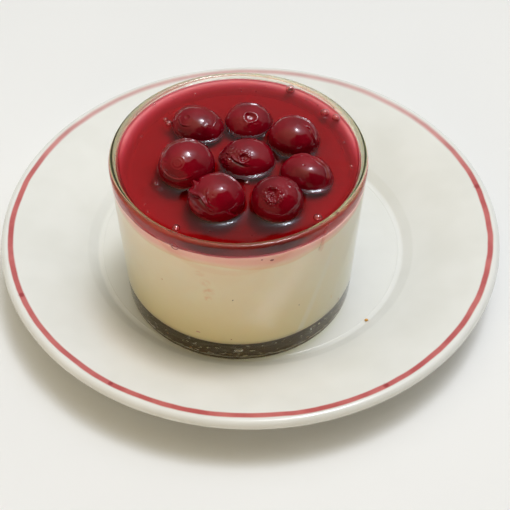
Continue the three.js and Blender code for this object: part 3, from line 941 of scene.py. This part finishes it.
def on_wall(around, up, out, radius):
    """A place so far out from the wall at an angle round the glass and a height."""
    reach = radius + out
    return np.stack([GLASS_X + reach * np.cos(around), GLASS_Y + reach * np.sin(around),
                     GLASS_FOOT + up], -1)


def run_skin(path, inside=False):
    """A flattened run of jelly laid along a path on the glass's wall."""
    stops = np.array(smooth_line([tuple(stop) for stop in path], 8))
    around, up = np.radians(stops[:, 0]), stops[:, 1] * MM
    wall = inner_radius if inside else outer_radius
    radius = wall(GLASS_FOOT + up)
    step = np.stack([np.gradient(around) * radius, np.gradient(up)], -1)
    step /= np.linalg.norm(step, axis=1)[:, None]
    turns = np.linspace(0, 2 * math.pi, 24, endpoint=False)
    sign = -1 if inside else 1
    rings = []
    for a, u, r, (along, rise), (_, _, wide, thick) in zip(around, up, radius, step, stops):
        across = wide * MM * np.cos(turns)
        out = sign * (thick * MM * np.maximum(np.sin(turns), 0) - 0.06 * MM)
        rings.append(on_wall(a + across * rise / r, u - across * along, out, r))
    if inside:
        rings = [ring[::-1] for ring in rings]
    return close_rings(rings[::-1], rings[-1].mean(0), rings[0].mean(0))


def hoop_skin(around, up, radius, thick):
    """A thin hoop lying against the inside of the wall."""
    steps, sides = 48, 12
    spin = np.linspace(0, 2 * math.pi, steps, endpoint=False)
    turns = np.linspace(0, 2 * math.pi, sides, endpoint=False)
    base = inner_radius(GLASS_FOOT + up * MM)
    points, faces = [], []
    for a in spin:
        reach = (radius + thick * np.cos(turns)) * MM
        points.append(on_wall(math.radians(around) + reach * math.cos(a) / base,
                              up * MM + reach * math.sin(a),
                              (0.2 + 0.5 * thick * np.sin(turns)) * MM, base))
        here, there = sides * (len(points) - 1), sides * (len(points) % steps)
        for side in range(sides):
            after = (side + 1) % sides
            faces.append((here + side, there + side, there + after, here + after))
    return np.concatenate(points), faces


thin_jelly = make_jelly("thin_jelly", (0.93, 0.60, 0.57))
make_piece("run_over_brim", run_skin(BRIM_RUN), thin_jelly, "jelly")
make_piece("films_inside_wall", joined([run_skin(film, True) for film in INNER_FILMS]), jelly_finish, "jelly")

# ---- Flecks --------------------------------------------------------------------------------
# A baked orange crumb that fell on the plate, flecks of fruit skin and vanilla that
# show in the cream against the glass, and painted glints set into the glass base.

CRUMB = Vector((37.0 * MM, -34.7 * MM, WELL_HEIGHT + 0.33 * MM))
# How far into the glass base the painted glints lie
BASE_DEPTH = 2.4 * MM
# Degrees round, millimetres above the foot, half sizes round and up, and which finish
# Those set in the glass base, up to 6 mm above the foot, are painted glints, not flecks: the near-white ones
# and two orange ones
FLECKS = [(-92.6, 29.9, 0.22, 0.22, "dark"), (-110.3, 11.9, 0.7, 0.28, "pink"),
          (-30.2, 9.5, 0.3, 0.5, "orange"), (-93.7, 10.7, 0.25, 0.2, "orange"),
          (-75.0, 46.8, 0.6, 0.35, "red"), (-79.5, 47.6, 0.3, 0.25, "red"),
          (-128.0, 31.0, 0.3, 0.15, "orange"), (-60.0, 22.0, 0.15, 0.2, "dark"),
          (-115.4, 2.4, 0.42, 0.28, "orange"), (-129.2, 4.1, 0.35, 0.3, "orange"),
          (-83.2, 4.4, 0.95, 0.12, "painted_glint"), (-86.8, 2.0, 0.8, 0.25, "painted_glint"),
          (-117.0, 4.9, 0.5, 0.16, "painted_glint"), (-109.6, 4.0, 0.35, 0.3, "painted_glint"),
          (-106.1, 4.6, 0.3, 0.3, "painted_glint"), (-45.2, 6.0, 0.4, 0.25, "painted_glint")]
FLECK_COLOURS = {"pink": (0.80, 0.42, 0.38), "dark": (0.10, 0.07, 0.04), "orange": (0.62, 0.25, 0.06),
                 "red": (0.45, 0.04, 0.06), "painted_glint": (0.80, 0.74, 0.52)}


def make_fleck(name, colour):
    finish, tree, shader, output, place = start_finish(name)
    tone = drifting(tree, place, 900.0, 2.0)
    darker = tuple(0.6 * channel for channel in colour)
    tree.links.new(blend(tree, tone, darker, colour), shader.inputs["Base Color"])
    shader.inputs["Roughness"].default_value = 0.4
    return finish


for kind, colour in FLECK_COLOURS.items():
    skins = []
    for around, up, wide, tall, which in FLECKS:
        if which == kind:
            facing, faces = ball(2)
            rough = facing * (1 + 0.3 * lumps(facing, 0.8, around)[:, None])
            # A fleck below the glass's floor is a painted glint set into the base
            in_base = GLASS_FOOT + up * MM < GLASS_FLOOR
            base = GLASS_BASE_RADIUS - BASE_DEPTH if in_base else inner_radius(GLASS_FOOT + up * MM)
            a = math.radians(around) + rough[:, 0] * wide * MM / base
            skins.append((on_wall(a, up * MM + rough[:, 2] * tall * MM,
                                  0.10 * MM + 0.06 * MM * rough[:, 1], base), faces))
    make_piece(kind + "_flecks", joined(skins), make_fleck(kind + "_fleck", colour), "cream")

make_piece("ring_of_juice", hoop_skin(*WALL_RING), make_fleck("juice", (0.50, 0.02, 0.05)), "jelly")

facing, faces = ball(4)
crumb = facing * (0.5 + 0.22 * lumps(facing, 0.7, 4)[:, None]) * np.array([1.1, 0.8, 0.75]) * MM
make_piece("orange_crumb", (crumb + np.array(CRUMB), faces), make_fleck("crumb", (0.95, 0.45, 0.05)), "cream")

# ---- Studio --------------------------------------------------------------------------------
# A white table under one soft lamp overhead and a little behind, in a dim warm room.

FLOOR = 3.0
FLOOR_FRONT = -0.24
floor_mesh = bpy.data.meshes.new("table")
floor_mesh.from_pydata([(-FLOOR, FLOOR_FRONT, 0), (FLOOR, FLOOR_FRONT, 0), (FLOOR, FLOOR, 0),
                        (-FLOOR, FLOOR, 0)], [], [(0, 1, 2, 3)])
floor = bpy.data.objects.new("table", floor_mesh)
bpy.context.scene.collection.objects.link(floor)
table_finish, tree, shader, output, place = start_finish("white_table")
mottle = drifting(tree, place, 8.0, 3.0)
tree.links.new(blend(tree, mottle, (0.865, 0.86, 0.835), (0.88, 0.875, 0.85)), shader.inputs["Base Color"])
shader.inputs["Roughness"].default_value = 0.7
floor_mesh.materials.append(table_finish)

LAMP_TOWARD = Vector((0.173, 0.129, 0.978))
CARD_TOWARD = Vector((-0.18, -0.966, 0.19))


def hang_lamp(name, toward, distance, size, energy, colour):
    """A soft light that faces the table's middle from so far off in a direction."""
    light = bpy.data.lights.new(name, "AREA")
    light.size = size
    light.energy = energy
    light.color = colour
    lamp = bpy.data.objects.new(name, light)
    bpy.context.scene.collection.objects.link(lamp)
    lamp.location = toward * distance
    lamp.rotation_euler = (-toward).to_track_quat("-Z", "Y").to_euler()
    return lamp


overhead_lamp = hang_lamp("overhead_lamp", LAMP_TOWARD, 1.05, 0.165, 1.1, (0.95, 1.0, 1.08))
overhead_lamp.data.shape = "DISK"
# A warm card low in front lights the side that the lamp leaves in shade
warm_card = hang_lamp("warm_card", CARD_TOWARD, 0.9, 0.35, 1.0, (1.0, 0.74, 0.45))
warm_card.visible_glossy = False

world = bpy.data.worlds.new("dim_room")
bpy.context.scene.world = world
world.use_nodes = True
tree = world.node_tree
tree.nodes.clear()
direction = add(tree, "ShaderNodeTexCoord").outputs["Generated"]


def facing_share(toward, none, full):
    """How far each direction of the room turns toward one, from none to full."""
    turn_to = add(tree, "ShaderNodeVectorMath", {0: direction, 1: toward}, operation="DOT_PRODUCT")
    return fade(tree, turn_to.outputs["Value"], none, full)


# The lamp's diffuser and the ceiling: brightness by degrees from the lamp's middle
GLOW = [(0, 16.0), (4, 14.0), (7, 8.0), (10, 4.0), (13, 2.3), (17, 1.6), (22, 1.25), (25.5, 1.0), (28, 0.78),
        (35, 0.66), (44, 0.5), (52, 0.4), (62, 0.3), (75, 0.2)]
BRIGHTEST = 16
toward = add(tree, "ShaderNodeVectorMath", {0: direction, 1: LAMP_TOWARD}, operation="DOT_PRODUCT")
glow = add(tree, "ShaderNodeValToRGB", {"Fac": toward.outputs["Value"]})
bands = glow.color_ramp.elements
bands.remove(bands[1])
bands[0].position = 0.0
for angle, level in GLOW:
    cool = 1 - min(max((angle - 16) / 12, 0), 1)
    band = bands.new(math.cos(math.radians(angle)))
    tint = [1 - 0.04 * cool, 1, 0.94 + 0.13 * cool]
    band.color = (*[level / BRIGHTEST * channel for channel in tint], 1)
bands[0].color = bands[1].color
# Warm walls in front and to the left, and past their end a dark space on the right
warm_side = facing_share((-0.62, -0.62, 0.48), 0.35, 0.80)
past_end = facing_share((0.996, 0.087, 0.0), 0.0, 0.03)
in_front = facing_share((-0.087, -0.996, 0.0), -0.05, 0.15)
off_lamp = facing_share(-LAMP_TOWARD, -0.88, -0.85)
walls = blend(tree, warm_side, (1.0, 1.0, 1.0), (1.6, 1.38, 1.0))
dark = times(tree, past_end, in_front, off_lamp)
walls = blend(tree, facing_share((0.50, 0.62, 0.60), 0.66, 0.86), walls, (1.0, 1.02, 1.08))
walls = blend(tree, times(tree, dark, 0.92), walls, (0.0, 0.0, 0.0))
# Whoever stands at the table shades the space straight in front
shaded = times(tree, facing_share((0.03, -0.80, 0.60), 0.88, 0.97), 0.85)
walls = blend(tree, shaded, walls, (0.0, 0.0, 0.0))
room = add(tree, "ShaderNodeMix", {0: 1.0, 6: glow.outputs["Color"], 7: walls}, data_type="RGBA",
           blend_type="MULTIPLY")
back = add(tree, "ShaderNodeBackground", {"Color": room.outputs[2], "Strength": 15.0})
sky = add(tree, "ShaderNodeOutputWorld")
tree.links.new(back.outputs["Background"], sky.inputs["Surface"])

camera_data = bpy.data.cameras.new("camera")
camera_data.lens = 88.2
camera_data.sensor_width = 36
camera = bpy.data.objects.new("camera", camera_data)
bpy.context.scene.collection.objects.link(camera)
camera.location = (0, -0.2925, 0.3134)
aim = Vector((1.465 * MM, -5.925 * MM, WELL_HEIGHT))
camera.rotation_euler = (aim - camera.location).to_track_quat("-Z", "Y").to_euler()
camera.rotation_euler.rotate_axis("Z", math.radians(0.166))
bpy.context.scene.camera = camera
bpy.context.scene.view_settings.view_transform = "Standard"
